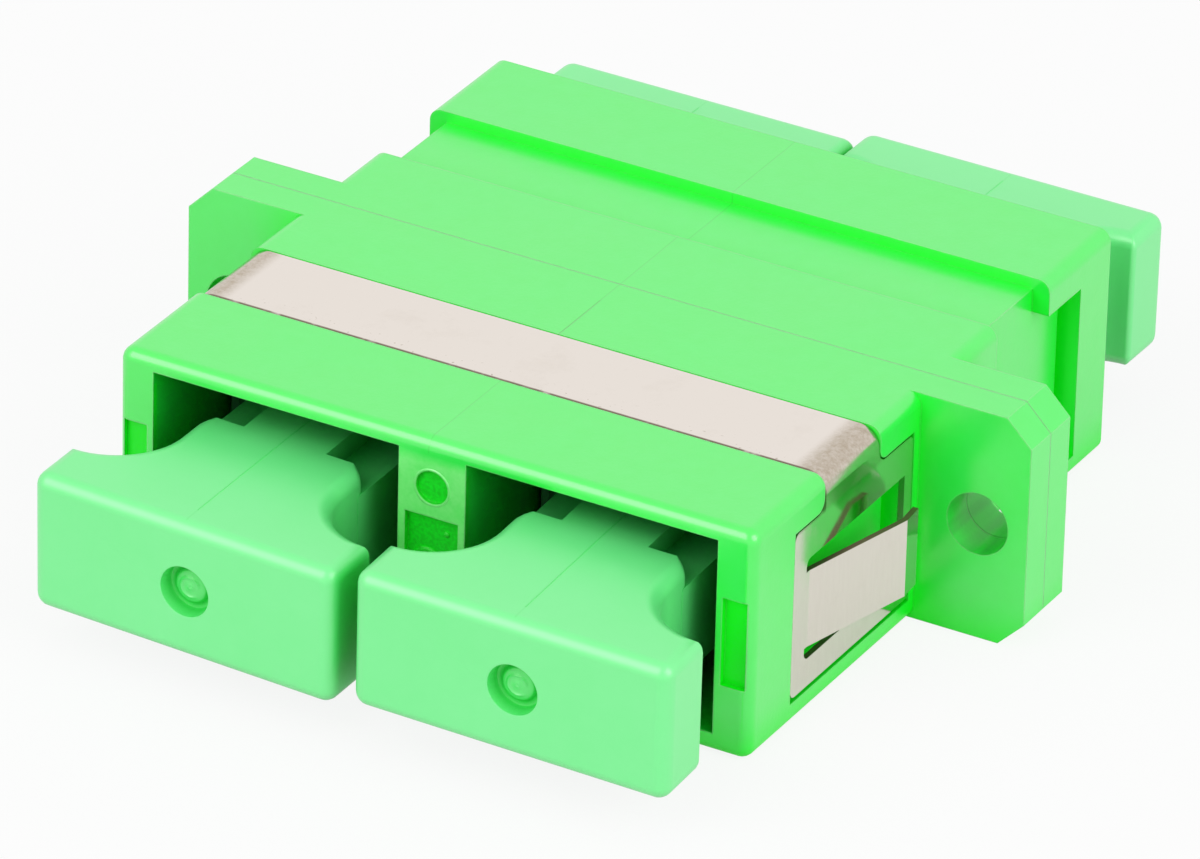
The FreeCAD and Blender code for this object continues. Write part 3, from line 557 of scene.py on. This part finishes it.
floor_mesh = bpy.data.meshes.new("floor")
floor_corners = [(x * FLOOR_REACH, y * FLOOR_REACH, FLOOR_Z) for x, y in ((-1, -1), (1, -1), (1, 1), (-1, 1))]
floor_mesh.from_pydata(floor_corners, [], [(0, 1, 2, 3)])
floor = bpy.data.objects.new("floor", floor_mesh)
bpy.context.scene.collection.objects.link(floor)
floor_white = Surface(bpy.data.materials.new("floor_white"), Base_Color=(0.80, 0.80, 0.80, 1.0), Roughness=0.9)
RAYS_SEEN = ("Is Camera Ray", "Is Glossy Ray", "Is Transmission Ray")
straight, mirrored, through = floor_white.node("ShaderNodeLightPath", output=RAYS_SEEN)
whitened = (straight * 0.88).at_least(mirrored * 0.40).at_least(through * 0.40)
glow = floor_white.node("ShaderNodeEmission", None, {"Color": WHITE, "Strength": 1.0})
lit = Wire(floor_white, floor_white.shader.outputs[0])
mixed = floor_white.node("ShaderNodeMixShader", None, {0: whitened, 1: lit, 2: glow})
floor_white.tree.links.new(mixed.socket, floor_white.tree.nodes["Material Output"].inputs["Surface"])
floor_white.wear_on(floor)

bpy.context.scene.world = bpy.data.worlds.new("white_room")
white_room = Surface(bpy.context.scene.world, "Background", Color=WHITE)
straight, mirrored, through = white_room.node("ShaderNodeLightPath", output=RAYS_SEEN)
white_room.drive("Strength", white_room.ramp(straight.at_least(mirrored).at_least(through), 0.0, 1.0, 0.60, 1.0))

for name, lamp_at, size, power in (
    ("front_softbox", (-0.25, -0.55, 0.45), 0.66, 2.3),
    ("side_softbox", (0.60, -0.12, 0.36), 0.6, 2.1),
):
    lamp = bpy.data.lights.new(name, "AREA")
    lamp.shape = "DISK"
    lamp.size = size
    lamp.energy = power
    softbox = bpy.data.objects.new(name, lamp)
    softbox.location = lamp_at
    softbox.rotation_euler = (-Vector(lamp_at)).to_track_quat("-Z", "Y").to_euler()
    bpy.context.scene.collection.objects.link(softbox)

CAMERA_TURN = math.radians(28.882)
CAMERA_RISE = math.radians(28.807)
CAMERA_ROLL = math.radians(1.512)
CAMERA_DISTANCE = 422.327 * MM
CAMERA_TARGET = Vector((-0.01, 0.0, -0.658)) * MM
CAMERA_SENSOR = 36.0
CAMERA_LENS = CAMERA_SENSOR * 11845.7 / 1200.0

away = Vector((
    math.sin(CAMERA_TURN) * math.cos(CAMERA_RISE),
    -math.cos(CAMERA_TURN) * math.cos(CAMERA_RISE),
    math.sin(CAMERA_RISE),
))
level_right = Vector((math.cos(CAMERA_TURN), math.sin(CAMERA_TURN), 0.0))
level_up = away.cross(level_right)
right = level_right * math.cos(CAMERA_ROLL) + level_up * math.sin(CAMERA_ROLL)
top = level_up * math.cos(CAMERA_ROLL) - level_right * math.sin(CAMERA_ROLL)
lens = bpy.data.cameras.new("camera")
lens.sensor_fit = "HORIZONTAL"
lens.sensor_width = CAMERA_SENSOR
lens.lens = CAMERA_LENS
lens.clip_start = 0.01
lens.clip_end = 20.0
camera = bpy.data.objects.new("camera", lens)
turned_to = Matrix((right, top, away)).transposed().to_4x4()
camera.matrix_world = Matrix.Translation(CAMERA_TARGET + away * CAMERA_DISTANCE) @ turned_to
bpy.context.scene.collection.objects.link(camera)
bpy.context.scene.camera = camera
bpy.context.scene.view_settings.view_transform = "Standard"
